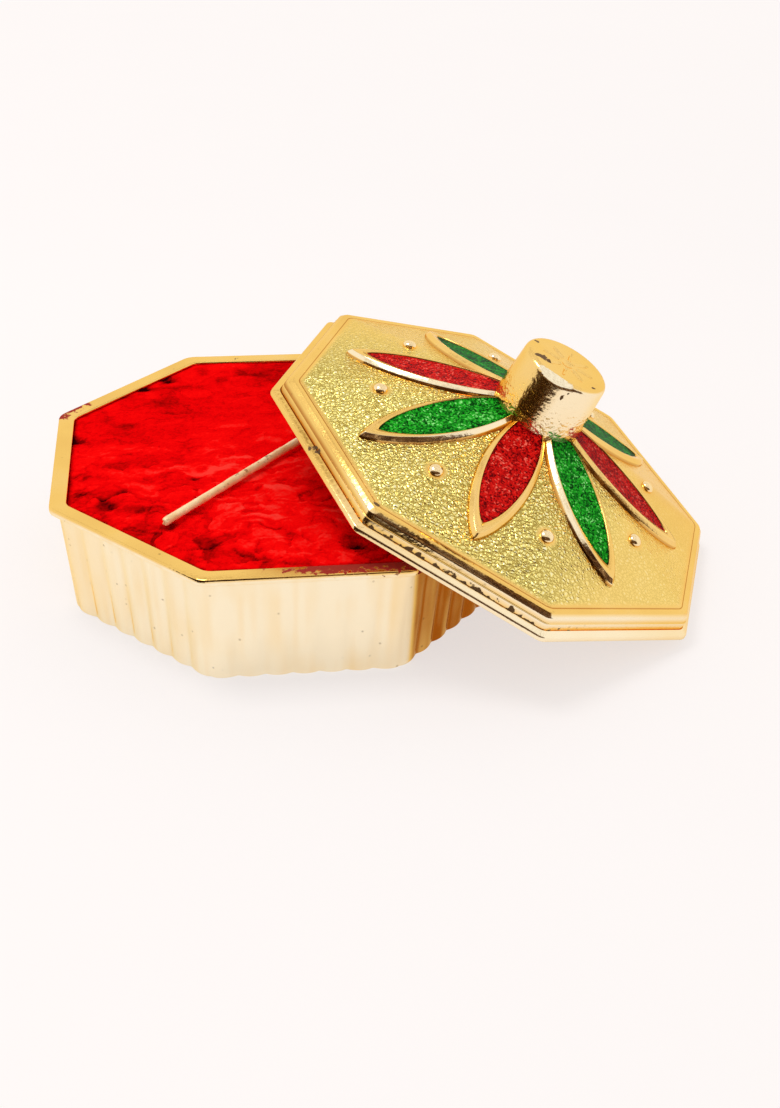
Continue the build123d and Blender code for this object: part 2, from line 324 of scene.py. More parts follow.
# The front rim's inner edge gets painted shade towards the lid, and red that is partly spilt powder and partly painted
# shade and reflection of the powder.
front_rim = (z > rim_top - 0.8) * (y < -mouth_half + 0.3)
front_edge_shade = ramp(y, -rim_half - 0.15, -rim_half + 0.75) * front_rim
pale = on_side * (front_light * (1 - lid_shadow) + lid_shade * lid_shadow) - 0.7 * front_edge_shade * ramp(x, -8, -2)
smear = spots(points, [
    (-29.6, 11.6, rim_top, 0.9), (-29.2, 12.6, rim_top, 1.3), (-28.6, 13.5, rim_top, 1.2), (-27.7, 14.5, rim_top, 1.1),
    (-26.6, 15.7, rim_top, 0.9),
])
dust = np.maximum(front_edge_shade * ramp(x, -6, 2), 0.95 * smear)
worn = 0.8 * spots(points, [
    (-5.3, 28.6, rim_top, 0.8), (-28.9, -9.6, rim_top, 0.5), (-28.6, -11.4, rim_top - 0.3, 0.4),
])
base_gold = plated_gold("base gold", pinholes=0.45)
base = make_piece("base_shell", points, faces, base_gold, pale=pale, dust=dust, worn=worn)
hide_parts("base")
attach(base, "box_body")

# Kumkum: fine red powder, pressed down and raked with the stick, so that it lies in soft flakes and crumbs
# with a few dark pits. Its tone carries painted light on high and sloping flakes and painted shade in creases, flecks
# and pits, under the lid and along the edge. One grid, drawn out from a square to the octagon, with a skirt down to
# the base's floor.
powder_drop, powder_gap = 0.4, 0.05
powder_edge = rim_top - powder_drop
powder_half = mouth_half - wall_lean * powder_drop / rim_top - powder_gap
powder_foot = foot_half - wall_thickness
powder_crown, powder_limit = 0.3, 0.45
powder_rake = np.radians(6.0)
powder_tones = [
    (0.0, (0.03, 0.0, 0.001)), (0.25, (0.36, 0.001, 0.001)), (0.5, (0.82, 0.001, 0.002)),
    (0.7, (0.98, 0.003, 0.003)), (1.0, (1.0, 0.042, 0.03)),
]
rubbed_places = [(-7, -5, 13, 12), (3, -19, 9, 6)]
pits = np.array([
    (-23.2, -12.3, 1.5), (-27.3, 5.4, 1.1), (-15.2, 22.9, 1.1), (-18.7, 20.3, 1.0),
    (-1.0, -21.1, 1.2), (3.0, 16.0, 1.0), (-12.2, -6.2, 0.6), (6.5, -24.0, 1.0),
])


def from_flat(angle):
    """Angle from the middle of the nearest flat."""
    return (angle + flat_turn) % (2 * flat_turn) - flat_turn


def flake_cells(x, y, seed):
    """Flakes round one random spot in each whole-number square: each point takes its nearest spot's flake, and
    gets that flake's slope at the point, the flake's own level from 0 to 1, and 1 on the crease to the next flake."""
    table = np.random.default_rng(seed).random((64, 64, 5))
    column, row = np.floor(x).astype(int), np.floor(y).astype(int)
    nearest, second, slope, level = np.full(x.shape, 9.0), np.full(x.shape, 9.0), 0 * x, 0 * x
    for step in range(9):
        near_column, near_row = column + step % 3 - 1, row + step // 3 - 1
        flake = table[near_column % 64, near_row % 64]
        over, up = x - near_column - flake[..., 0], y - near_row - flake[..., 1]
        gap = np.hypot(over, up)
        closer = gap < nearest
        second = np.where(closer, nearest, np.minimum(second, gap))
        nearest = np.minimum(nearest, gap)
        slope = np.where(closer, (flake[..., 2] - 0.5) * over + (flake[..., 3] - 0.5) * up, slope)
        level = np.where(closer, flake[..., 4], level)
    return slope, level, ramp(second - nearest, 0.45, 0)


def powder_surface(x, y, inward):
    """Height and tone of the powder at a place and its distance inward from the edge. The height is the edge's level,
    plus a rise over the outer 5 mm, plus the levels and slopes of large and small flakes, crumbs and broad swells,
    less the pits, up to a limit. The tone is a middle red with painted light and shade: lighter on high flakes and
    swells and on flakes that slope one way, and painted shade in flecks, creases and pits, under the lid and along
    the edge. It is also lighter in strokes where the powder is rubbed, and darker in blotches that grow near the edge."""
    warp = 2.4 * smooth_noise(x / 2.6 + 40, y / 2.6 + 40, 1) + 0.8 * smooth_noise(x / 0.9 + 40, y / 0.9 + 40, 9)
    sway = 2.4 * smooth_noise(x / 2.9 + 40, y / 2.4 + 40, 13) + 0.8 * smooth_noise(x / 0.9 + 40, y / 0.9 + 40, 14)
    p = x * np.cos(powder_rake) + y * np.sin(powder_rake) + warp
    q = y * np.cos(powder_rake) - x * np.sin(powder_rake) + sway
    slope, level, crease = flake_cells(p / 3.2 + 30, q / 2.2 + 30, 2)
    small_slope, small_level, small_crease = flake_cells(p / 1.4 + 30, q / 1.0 + 30, 3)
    stroke = ramp(smooth_noise(p / 4.5 + 30, q / 0.75 + 50, 4), 0.5, 0.85)
    swell = smooth_noise(x / 7 + 20, y / 7 + 20, 5)
    crumb = smooth_noise(x / 0.55 + 60, y / 0.55 + 60, 6)
    fleck = ramp(smooth_noise(p / 1.5 + 30, q / 1.0 + 30, 15), 0.58, 0.88)
    blotch = ramp(smooth_noise(x / 2.6 + 70, y / 2.2 + 70, 10), 0.55, 0.85) * (0.4 + 0.6 * ramp(inward, 11, 5))
    rubbed = sum(np.exp(-(((x - cx) / wide) ** 2 + ((y - cy) / deep) ** 2)) for cx, cy, wide, deep in rubbed_places)
    rubbed = np.clip(rubbed, 0, 1)
    rough = (0.35 + 0.65 * ramp(y, 8, -8)) * ramp(inward, 0, 0.8)
    over, up = x[..., None] - pits[:, 0], y[..., None] - pits[:, 1]
    pit = np.exp(-(over**2 + 1.6 * up**2) / pits[:, 2] ** 2).max(-1)
    pit = pit * (0.7 + 0.4 * smooth_noise(x / 0.7 + 60, y / 0.7 + 60, 7))
    lid_shadow = ramp(x - y, 22, 44) * ramp(x, -2, 6)

    relief = 0.14 * (level - 0.5) + 0.3 * slope + 0.07 * (small_level - 0.5) + 0.16 * small_slope
    z = powder_edge + powder_crown * ramp(inward, 0, 5) + rough * (relief + 0.05 * (crumb - 0.5))
    z = np.minimum(z + 0.3 * (swell - 0.5) - 0.35 * pit, powder_edge + powder_limit)

    tone = 0.58 + rough * (0.2 * (level - 0.5) + 0.3 * slope + 0.14 * (small_level - 0.5) + 0.2 * small_slope)
    tone = tone + 0.4 * stroke * rubbed + 0.08 * rubbed + 0.2 * (swell - 0.5) + 0.08 * (crumb - 0.5) - 0.2 * blotch
    shadow = 0.12 * crease * (level < 0.6) + 0.08 * small_crease * (small_level < 0.5) + 0.11 * fleck
    tone = tone - shadow * (0.3 + 0.7 * rough) * (1 - 0.7 * rubbed)
    return z, tone - 0.55 * pit - 0.22 * lid_shadow - 0.35 * ramp(inward, 0.5, 0)


grid_size = 290
u, v = np.meshgrid(np.linspace(-1, 1, grid_size), np.linspace(-1, 1, grid_size), indexing="ij")
angle = np.arctan2(v, u)
spread = octagon_reach(powder_half, mouth_corner_round, from_flat(angle))
spread = spread * np.maximum(np.abs(np.cos(angle)), np.abs(np.sin(angle)))
x, y = u * spread, v * spread
facing = np.arange(flats)[:, None, None] * 2 * flat_turn
inward = powder_half - (x * np.cos(facing) + y * np.sin(facing)).max(0)
z, tone = powder_surface(x, y, inward)
here = np.arange(grid_size**2).reshape(grid_size, grid_size)
quads = np.stack([here[:-1, :-1], here[1:, :-1], here[1:, 1:], here[:-1, 1:]], -1).reshape(-1, 4)
border = np.concatenate([here[:-1, 0], here[-1, :-1], here[:0:-1, -1], here[0, :0:-1]])
points = np.stack([x, y, z], -1).reshape(-1, 3)
skirt = points[border] * (powder_foot / powder_half, powder_foot / powder_half, 0) + (0, 0, base_floor)
below = grid_size**2 + np.arange(len(border))
sides = np.stack([border, below, np.roll(below, -1), np.roll(border, -1)], -1)
under = np.stack([np.roll(below, -1), below, np.full(len(below), below[-1] + 1)], -1)
points = np.concatenate([points, skirt, [(0, 0, base_floor)]])
tones = np.concatenate([tone.ravel(), np.full(len(border) + 1, 0.2)])
powder, shader, place = new_material("kumkum powder")
fine = noise(powder, place, 2600.0, 2.0)
speckled = sum_of(powder, field(powder, "tone"), carried(powder, fine, 0.3, 0.7, -0.07, 0.07))
grit = bumped(powder, fine, 0.4, 0.00006)
connect(powder, shader, {"Base Color": colour_row(powder, speckled, powder_tones), "Normal": grit})
connect(powder, shader, {"Roughness": 0.95, "Specular IOR Level": 0.0})
kumkum = make_piece("kumkum_heap", points, [quads, sides, under], powder, tone=tones)
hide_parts("kumkum")
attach(kumkum, "box_body")

# Stick: a thin rod of pale satin plating for putting the powder on the forehead, dropped across the powder.
# A tube of uneven thickness along its own line, snapped off at its near end and scuffed brown along its top.
stick_low, stick_high = (np.array(corner) * 1000 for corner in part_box("stick"))
stick_radius = (stick_high[2] - stick_low[2]) / 2
stick_heading = np.radians(47.7)
stick_dark, stick_pale, scuff_brown = (0.88, 0.56, 0.25), (1.0, 0.80, 0.46), (0.30, 0.12, 0.03)
stick_line = np.array([np.cos(stick_heading), np.sin(stick_heading), 0.0])
stick_side = np.array([-stick_line[1], stick_line[0], 0.0])
stick_up = np.array([0, 0, 1])
stick_length = (stick_high[0] - stick_low[0] - 2 * stick_radius * stick_line[1]) / stick_line[0]


def full_turn(count):
    """Angles of a number of points spaced evenly round an axis."""
    return np.arange(count) / count * 2 * np.pi


run = np.concatenate([[0, 0.05, 0.2], np.linspace(0.5, stick_length - 0.4, 110), [stick_length - 0.1]])
turn = full_turn(28)
lumps = smooth_noise(run[:, None] / 1.8 + 5, np.cos(turn) * 1.2 + 7 + 0 * run[:, None], 8) - 0.5
near_end = np.interp(run, [0, 0.05, 0.3], [0.55, 0.8, 1])[:, None]
girth = stick_radius * np.clip(0.87 + 0.14 * lumps, 0, 1) * near_end
splinter = 0.5 * np.interp(run, [0, 0.8], [1, 0])[:, None] * (np.sin(3 * turn + 1) * 0.5 + np.cos(turn))
start = (stick_low + stick_high) / 2 - stick_line * stick_length / 2
rings = start + (run[:, None] + np.maximum(splinter, 0))[..., None] * stick_line
rings = rings + girth[..., None] * (np.cos(turn)[:, None] * stick_side + np.sin(turn)[:, None] * stick_up)
points, faces = ring_shell(rings)
scuffed = np.interp(run, [6, 11, 20, 24], [0, 1, 1, 0.2])[:, None] * np.clip(np.sin(turn), 0, 1)
scuffed = np.maximum(scuffed, 0.9 * np.interp(run, [0, 1.2], [1, 0])[:, None])
satin, shader, place = new_material("stick plating")
patches = carried(satin, noise(satin, place, 500.0, 3.0), 0.35, 0.65, 0.0, 1.0)
colour = blend(satin, patches, stick_dark, stick_pale)
specks = carried(satin, noise(satin, place, 1500.0, 2.0), 0.57, 0.64, 0.0, 0.8)
colour = blend(satin, product_of(satin, specks, field(satin, "scuffed")), colour, scuff_brown)
connect(satin, shader, {"Base Color": colour, "Metallic": 0.15, "Roughness": 0.4})
stick = make_piece("stick_rod", points, faces, satin, scuffed=np.append(scuffed.ravel(), [0.5, 0]))
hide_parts("stick")
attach(stick, "stick_body")

# Lid: moulded and plated as the base is. A lip, a ledge, a stepped and bevelled side and a smooth border go round a
# low grained roof that runs from the octagon to the round seat of the knob. Underneath, four tabs stand in a hollow.
lid_tilt, lid_heading, lid_spin = np.radians([25.05, -16.75, -6.0])
lid_half, lip_inner_half = rim_half, mouth_half - 0.25
lid_corner_round = 1.6
shoulder_half = lid_half - 0.9
lip_height, step_height, border_height = 0.95, 1.95, 3.2
field_half = shoulder_half - 1.5
seat_half, seat_height = 6.2, border_height + 7.0
lid_thickness = 1.3
ceiling_edge, ceiling_top = border_height - lid_thickness, seat_height - lid_thickness
boss_half, boss_bottom = 3.2, 6.4
roof_slope = np.arctan2(seat_height - border_height, field_half - seat_half)
dot_distance = field_half - 7.6
lean_gap, corner_inset = 0.65, 0.8
side_light, ledge_reflection_turn = np.radians(298), np.radians(270)
tab_half, tab_thickness, tab_depth, tab_root = 4.0, 1.0, 1.2, 2.0

lid_axes = np.array(
    Matrix.Rotation(lid_heading, 3, "Z") @ Matrix.Rotation(lid_tilt, 3, "Y") @ Matrix.Rotation(lid_spin, 3, "Z")
)
corner_reach = (lid_half - lid_corner_round) / np.cos(flat_turn)
lid_rest = (corner_reach * np.cos(flat_turn + lid_spin) + lid_corner_round) * np.sin(lid_tilt)
leaning = lid_axes @ (0, corner_inset - lid_half, -lean_gap)
leaning = leaning + lid_axes[:, 0] * (lid_rest - rim_top + leaning[2]) / (np.sin(lid_tilt) * np.cos(lid_spin))
lid_middle = np.array([rim_half * np.tan(flat_turn), -rim_half]) - leaning[:2]


def place_on_lid(points):
    """Points of the lid's own frame, heights from the plane of its lip, moved to where the lid leans."""
    return points @ lid_axes.T + (*lid_middle, lid_rest)


def turned(points, number):
    """Points at the lid's first flat, turned about the lid's axis to the flat of that number, on the leaning lid."""
    turn = number * 2 * flat_turn
    spin = np.array([[np.cos(turn), -np.sin(turn), 0], [np.sin(turn), np.cos(turn), 0], [0, 0, 1]])
    return place_on_lid(points @ spin.T)


def copies_round(points, faces, numbers):
    """Points and faces of one shape, copied to the flats of these numbers on the leaning lid."""
    copied = np.concatenate([turned(points, number) for number in numbers])
    return copied, [part + count * len(points) for count in range(len(numbers)) for part in faces]


def per_ring(values, rings, ends=(0, 0)):
    """Value of each point of a shell, from one value for each of its rings and one for each end."""
    return np.append(np.repeat(values, rings.shape[1]), ends)


def roof_corner(half):
    """Corner radius of the lid at a half width: small at the edge, growing until the seat is a circle."""
    fade = ramp(half, seat_half, field_half) ** 0.7
    return np.where(half < seat_half, half, np.minimum(half, lid_corner_round * fade + half * (1 - fade)))


edge = rounded_section([
    (0.8, boss_bottom, 0), (boss_half, boss_bottom, 0.2), (boss_half, ceiling_top, 0.2), (seat_half, ceiling_top, 0.3),
    (lip_inner_half, ceiling_edge, 0.3), (lip_inner_half, 0, 0.15),
    (lid_half, 0, 0.2), (lid_half - 0.03, lip_height - 0.3, 0.2),
    (shoulder_half + 0.02, lip_height + 0.1, 0.08), (shoulder_half - 0.04, lip_height - 0.08, 0.04),
    (shoulder_half - 0.06, lip_height + 0.06, 0.04), (shoulder_half - 0.08, step_height - 0.06, 0.04),
    (shoulder_half - 0.2, step_height, 0.05), (shoulder_half - 0.25, border_height - 0.55, 0.12),
    (shoulder_half - 0.78, border_height, 0.12),
    (field_half + 0.12, border_height, 0.05), (field_half + 0.02, border_height - 0.07, 0.03),
    (field_half - 0.1, border_height + 0.03, 0),
])
roof_half = np.linspace(field_half - 0.25, seat_half, 70)
roof = np.stack([roof_half, border_height + (field_half - roof_half) * np.tan(roof_slope)], -1)
section = np.concatenate([edge, roof, [(seat_half - 0.2, seat_height), (1.0, seat_height)]])
rings = octagon_rings(section, roof_corner(section[:, :1]))
points, faces = ring_shell(rings, (0, 0, boss_bottom), (0, 0, seat_height))

x, y, z = points.T
angle, from_axis = np.arctan2(y, x), np.hypot(x, y)
flat_distance = from_axis * np.cos(from_flat(angle))
dot_turn = angle % (2 * flat_turn) - flat_turn
dot_gap = np.hypot(from_axis * np.cos(dot_turn) - dot_distance, from_axis * np.sin(dot_turn))
on_roof = (flat_distance < field_half - 0.2) & (z > border_height)
grain = on_roof * ramp(dot_gap, 1.1, 1.6) * ramp(flat_distance, field_half - 0.3, field_half - 0.7)
# Painted light: the pebbles, with their painted glints and shade, are weaker towards the back and the right of the
# roof.
grain = grain * (0.3 + 0.7 * ramp(y, 9, -7)) * (1 - 0.7 * ramp(x, 8, 17))
# Painted light and shade: the side is lighter where it faces side_light, and the grooves of the lip, step and border
# are painted darker as shade.
side_band = (flat_distance > shoulder_half - 0.6) & (z < border_height - 0.1)
pale = np.where(side_band, 0.9 * ramp(np.cos(angle - side_light), 0.375, 1), -0.02)
half, height = section.T
groove = (np.abs(half - shoulder_half + 0.02) < 0.08) & (np.abs(height - lip_height) < 0.14)
groove |= (np.abs(half - shoulder_half + 0.12) < 0.1) & (np.abs(height - step_height) < 0.07)
groove |= np.abs(half - field_half) < 0.06
groove = per_ring(groove, rings, (False, False))
pale = np.where(groove, pale - 0.7, pale)
# The chips are wear; along the front of the ledge's groove the same bare brown is a painted dark reflection.
chips = [(-21.6, -20.1, lip_height, 0.9), (-20.7, -20.4, lip_height, 0.8), (-11.7, -27.6, border_height, 0.7)]
at_ledge = groove & (z < lip_height + 0.3)
ledge_worn = 0.7 * at_ledge * ramp(np.cos(angle - ledge_reflection_turn), 0.825, 0.95)
worn = 0.85 * np.maximum(spots(points, chips), ledge_worn)
lid_gold = plated_gold("lid gold", pinholes=0.3, grain_depth=0.00009)
lid = make_piece("lid_shell", place_on_lid(points), faces, lid_gold, pale=pale, grain=grain, worn=worn)
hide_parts("lid")

plan = np.array([(-1, -1), (1, -1), (1, 1), (-1, 1)]) * (tab_thickness / 2, tab_half)
plan = plan + (lip_inner_half - tab_thickness / 2, 0)
rings = np.stack([np.column_stack([plan, np.full(4, height)]) for height in (-tab_depth, 0.1 - tab_depth, tab_root)])
rings[0, :, :2] = rings[0, :, :2] * 0.98 + rings[0, :, :2].mean(0) * 0.02
points, faces = copies_round(*ring_shell(rings), [1, 3, 5, 7])
tabs = make_piece("lid_tabs", points, faces, lid_gold, smooth=False)

# Petals: eight gold leaves raised on the roof in one moulding with it, one to each flat, with a sloping flank,
# a thin bright ridge, a hollow for the enamel and a gold tip past it. Each is a set of leaf outlines, one in another.
petal_start, petal_end, petal_half = 2.6, field_half - 3.6, 2.8
petal_cut = 5.5
pocket_tip = 1.6
outline_steps = 90
# The third figure of each flank ring is painted light and shade: shade at the flank's foot and round the hollow, a
# little light along the ridge.
flank = [
    (1.0, -0.4, -0.7), (0.93, -0.05, -0.7), (0.9, 0.0, -0.6), (0.8, 0.2, -0.4), (0.74, 0.32, 0.0), (0.7, 0.37, 0.05),
    (0.3, 0.65, 0.05), (0.24, 0.71, 0.1), (0.16, 0.75, 0.1), (0.08, 0.73, 0.0), (0.03, 0.66, -0.2), (0.0, 0.5, -0.3),
    (-0.4, 0.4, -0.3),
]
# Painted highlight on one flank of petals 4, 5 and 7; the sign of each entry picks the flank.
pale_sides, flank_highlight_strength = {4: 1, 5: 1, 7: -1}, 0.8


def leaf_ring(grow, height):
    """Closed outline on one slope of the roof, grown by grow and raised by height above the slope.
    Its half-width is w * (1 - t^2)^0.75, t running from -1 at its start to 1 at its tip. The hollow's
    outlines, grown by less than 0.1, end pocket_tip short of the leaf's tip."""
    start, end, half = petal_start - grow, petal_end + grow - pocket_tip * (grow < 0.1), petal_half + grow
    reach = petal_cut + (end - petal_cut) * np.sin(np.linspace(0, np.pi / 2, outline_steps))
    width = half * np.maximum(1 - ((2 * reach - start - end) / (end - start)) ** 2, 0) ** 0.75
    reach = np.concatenate([reach, reach[-2::-1]])
    width = np.concatenate([-width, width[-2::-1]])
    level = border_height + (field_half - reach) * np.tan(roof_slope)
    lift = height * np.array([np.sin(roof_slope), 0, np.cos(roof_slope)])
    return np.stack([reach, width, level], -1) + lift


rings = np.stack([leaf_ring(grow, height) for grow, height, paleness in flank])
petal, petal_faces = ring_shell(rings)
points, faces = copies_round(petal, petal_faces, range(flats))
pale = per_ring([paleness for grow, height, paleness in flank], rings)
flank_highlight = flank_highlight_strength * per_ring([grow > 0.2 and 0.2 < height < 0.72 for grow, height, paleness in flank], rings)
pale = np.concatenate([pale + flank_highlight * (petal[:, 1] * pale_sides.get(number, 0) > 0) for number in range(flats)])
petals = make_piece("lid_petals", points, faces, lid_gold, pale=pale)

# Dots: eight polished domes of the same moulding, one towards each corner of the roof, their gold painted lighter as a
# painted highlight. Each is a part of a flattened ball, sunk a little into the slope.
dot_radius, dot_rise, dot_sink = 0.95, 0.65, 0.3
fall = np.linspace(np.pi / 2 + 0.4, 0.06, 14)[:, None]
turn = full_turn(32)
ball = np.stack([np.sin(fall) * np.cos(turn), np.sin(fall) * np.sin(turn), np.cos(fall) + 0 * turn], -1)
dot, dot_faces = ring_shell(ball * (dot_radius, dot_radius, dot_rise), (0, 0, -dot_sink), (0, 0, dot_rise))
ridge_reach = octagon_reach(roof[:, 0], roof_corner(roof[:, 0]), flat_turn)
dot_level = np.interp(dot_distance, ridge_reach[::-1], roof[::-1, 1])
dot = dot @ np.array(Matrix.Rotation(roof_slope, 3, "Y")).T + (dot_distance, 0, dot_level)
points, faces = copies_round(dot, dot_faces, np.arange(flats) + 0.5)
dots = make_piece("lid_dots", points, faces, lid_gold, pale=np.full(len(points), 0.6))
for piece in (lid, tabs, petals, dots):
    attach(piece, "lid_body")

# Enamel: clear resin with glitter in it, poured into the hollow of each petal, red and green in turn.
# Each fill is a leaf that sags a little in its middle, with painted shade at its tip, near the knob and along its
# edge, and on the two far green fills.
enamel_tones = {
    "red": [
        (0.0, (0.12, 0.0, 0.001)), (0.3, (0.48, 0.002, 0.002)),
        (0.75, (0.78, 0.010, 0.006)), (1.0, (0.95, 0.19, 0.13)),
    ],
    "green": [
        (0.0, (0.0, 0.03, 0.002)), (0.3, (0.002, 0.19, 0.006)),
        (0.75, (0.02, 0.48, 0.02)), (1.0, (0.36, 0.95, 0.30)),
    ],
}
sag = [
    (-0.03, 0.37, -0.3), (-0.03, 0.57, -0.3), (-0.06, 0.6, -0.25), (-0.2, 0.6, -0.12), (-0.5, 0.58, 0),
    (-0.9, 0.56, 0), (-1.4, 0.55, 0), (-2.0, 0.55, 0), (-2.6, 0.55, 0),
]
far_shade = {1: -0.3, 3: -0.3}


def glitter_enamel(name, tones):
    """Resin with flakes: each small cell has its own brightness and its own tilt, darker where the field shade is."""
    material, shader, place = new_material(name)
    flakes = add_node(material, "TexVoronoi", {"Vector": place, "Scale": 4800.0})
    pick = add_node(material, "SeparateColor", {"Color": flakes.outputs["Color"]})
    patches = carried(material, noise(material, place, 700.0, 2.0), 0.3, 0.7, -0.2, 0.2)
    bright = sum_of(material, sum_of(material, pick.outputs[0], patches), field(material, "shade"))
    colour = colour_row(material, carried(material, bright, 0.04, 1.13, 0.0, 1.0), tones)
    connect(material, shader, {"Base Color": colour, "Normal": bumped(material, pick.outputs[1], 0.4, 0.00004)})
    connect(material, shader, {"Roughness": 0.45, "Specular IOR Level": 0.02})
    return material


enamels = {name: glitter_enamel(name + " enamel", tones) for name, tones in enamel_tones.items()}
rings = np.stack([leaf_ring(grow, height) for grow, height, shade in sag])
fill, fill_faces = ring_shell(rings)
tip_shade = -0.3 * ramp(fill[:, 0], petal_end - 5, petal_end - 1) - 0.25 * ramp(fill[:, 0], 8, 6)
edge_shade = per_ring([shade for grow, height, shade in sag], rings)
for number in range(flats):
    hue = "green" if number % 2 else "red"
    node_name = f"{hue}_enamel_{number // 2 + 1}"
    shade = tip_shade + edge_shade + far_shade.get(number, 0)
    enamel = make_piece(node_name + "_fill", turned(fill, number), fill_faces, enamels[hue], shade=shade)
    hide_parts(node_name)
    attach(enamel, "lid_body")

# Knob: a separate plated moulding, pressed by its tail into the lid's boss. Its side narrows a little upwards, its
# edge is rounded, chipped here and there and worn flat in one place, and a shallow flower is pressed into its top.
knob_foot, knob_narrowing, knob_top = 6.1, 0.4, seat_height + 8.25
tail_half, knob_flat = 2.0, 4.75
tail_bottom, knob_under = boss_bottom + 0.05, seat_height + 0.02
ray_start, ray_end, ray_depth, ray_half = 1.1, 3.7, 0.22, 0.24
eye_half, eye_depth = 0.75, 0.22
wear_turn, wear_tilt, wear_depth = np.radians(262), np.radians(55), 0.35
knob_light = np.radians(312)


def flower_depth(half, turn):
    """Depth of the flower in the knob's top, at a distance and an angle: eight rays, each deepest along its line and
    fading to its sides and ends, and an eye that is flat in the middle of them."""
    from_ray = half * np.sin(from_flat(turn))
    in_ray = ramp(half, ray_start, ray_start + 0.4) * ramp(half, ray_end, ray_end - 0.8)
    return ray_depth * in_ray * np.exp(-((from_ray / ray_half) ** 2)) + eye_depth * np.exp(-((half / eye_half) ** 4))


up_knob = np.linspace(seat_height + 0.7, knob_top - 1.0, 10)
narrowing = knob_narrowing * (up_knob - seat_height) / (knob_top - seat_height)
knob_side = [(knob_foot - narrowed, height, 0) for narrowed, height in zip(narrowing, up_knob)]
knob_section = rounded_section([
    (0.8, tail_bottom, 0), (tail_half, tail_bottom, 0.2), (tail_half, knob_under, 0.1), (knob_foot, knob_under, 0.12),
    *knob_side, (knob_foot - knob_narrowing, knob_top, 0.85), (knob_flat, knob_top, 0),
])
top_half = np.linspace(knob_flat - 0.05, 0.1, 64)
section = np.concatenate([knob_section, np.stack([top_half, np.full(64, knob_top)], -1)])
turn = full_turn(320)
half, height = section[:, :1], section[:, 1:]
rings = np.stack([half * np.cos(turn), half * np.sin(turn), height + 0 * turn], -1)
rings[..., 2] -= np.where(height > knob_top - 1e-6, flower_depth(half, turn), 0)
points, faces = ring_shell(rings, (0, 0, tail_bottom), (0, 0, knob_top - eye_depth))
wear_out = np.array([
    np.cos(wear_turn) * np.cos(wear_tilt), np.sin(wear_turn) * np.cos(wear_tilt), np.sin(wear_tilt),
])
over = np.maximum(points @ wear_out - (points @ wear_out).max() + wear_depth, 0)
points = points - over[:, None] * wear_out
x, y, z = points.T
# Painted light: the worn flat is painted as a highlight, and the side is painted lighter where it faces knob_light.
toward_light = ramp(np.cos(np.arctan2(y, x) - knob_light), 0.55, 0.85)
pale = np.where(over > 0.01, 1.0, np.where(z < knob_top - 0.3, 0.8 * toward_light, 0.0))
worn = 0.85 * spots(points, [
    (-3.1, -2.0, knob_top, 1.0), (-3.8, -2.3, knob_top, 0.9), (-2.4, -2.2, knob_top, 0.7),
    (-4.9, 1.3, knob_top - 0.05, 0.6), (4.5, 3.1, knob_top, 0.4), (4.1, -2.4, knob_top, 0.4),
    (1.6, -5.5, knob_top - 1.3, 0.6), (1.2, -5.6, knob_top - 1.8, 0.4),
])
knob_gold = plated_gold("knob gold", ripple=0.00008)
knob = make_piece("knob_turned", place_on_lid(points), faces, knob_gold, pale=pale, worn=worn)
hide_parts("knob")
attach(knob, "lid_body")

# Stage: a pale table, a small soft lamp overhead and even light from all round. The polished surfaces also mirror a
# mottled ceiling, a dark room in front of the table and a dark chair near the knob, which nothing else sees.
table_colour = (1.0, 0.955, 0.94)
table_size, table_drop = 3.0, 0.00005
table_glow, far_glow = 0.67, 0.75
lamp_side, lamp_power = 0.16, 0.66
lamp_place, lamp_tilt = (-0.12, 0.02, 0.45), np.radians(-14)
sky_colour, room_level = (1.0, 0.985, 0.97), 0.75
ceiling_side, ceiling_place, ceiling_patches = 1.2, (0.15, 0.15, 0.55), 11.0
ceiling_tones = [
    (0.0, (0.20, 0.13, 0.07)), (0.25, (0.62, 0.54, 0.43)), (0.45, (1.0, 0.98, 0.95)), (1.0, (1.0, 1.0, 1.0)),
]
room_width, room_height, room_turn, room_distance, room_patches = 0.74, 0.22, np.radians(-101), 0.16, 30.0
room_tones = [
    (0.0, (0.012, 0.005, 0.003)), (0.5, (0.06, 0.026, 0.012)), (0.75, (0.25, 0.13, 0.06)), (1.0, (0.8, 0.6, 0.35)),
]
chair_width, chair_height, chair_turn, chair_patches = 0.10, 0.06, np.radians(-135), 120.0
chair_place = -0.034, -0.070
chair_tones = [
    (0.0, (0.006, 0.002, 0.001)), (0.6, (0.025, 0.011, 0.006)), (0.8, (0.14, 0.07, 0.03)), (1.0, (0.6, 0.4, 0.2)),
]


def seen_directly(material):
    """Share 1 for rays from the camera, off polished surfaces or through clear ones, and 0 for the rest."""
    path = add_node(material, "LightPath").outputs
    seen = {0: sum_of(material, path["Is Camera Ray"], path["Is Glossy Ray"]), 1: path["Is Transmission Ray"]}
    return add_node(material, "Math", seen, operation="ADD", use_clamp=True).outputs[0]


bpy.ops.mesh.primitive_plane_add(size=table_size, location=(0, 0, -table_drop))
table = bpy.context.active_object
table.name = "table"
table_paint, shader, place = new_material("table paint")
own = tuple((1 - table_glow) * part for part in table_colour)
paint = blend(table_paint, noise(table_paint, place, 40.0, 2.0), tuple(0.98 * part for part in own), own)
from_box = add_node(table_paint, "VectorMath", {0: place}, operation="LENGTH").outputs["Value"]
glow = carried(table_paint, from_box, 0.15, 0.6, table_glow, far_glow)
glow = product_of(table_paint, seen_directly(table_paint), glow)
connect(table_paint, shader, {"Base Color": paint, "Roughness": 0.8, "Specular IOR Level": 0.0})
connect(table_paint, shader, {"Emission Color": (*table_colour, 1), "Emission Strength": glow})
table.data.materials.append(table_paint)


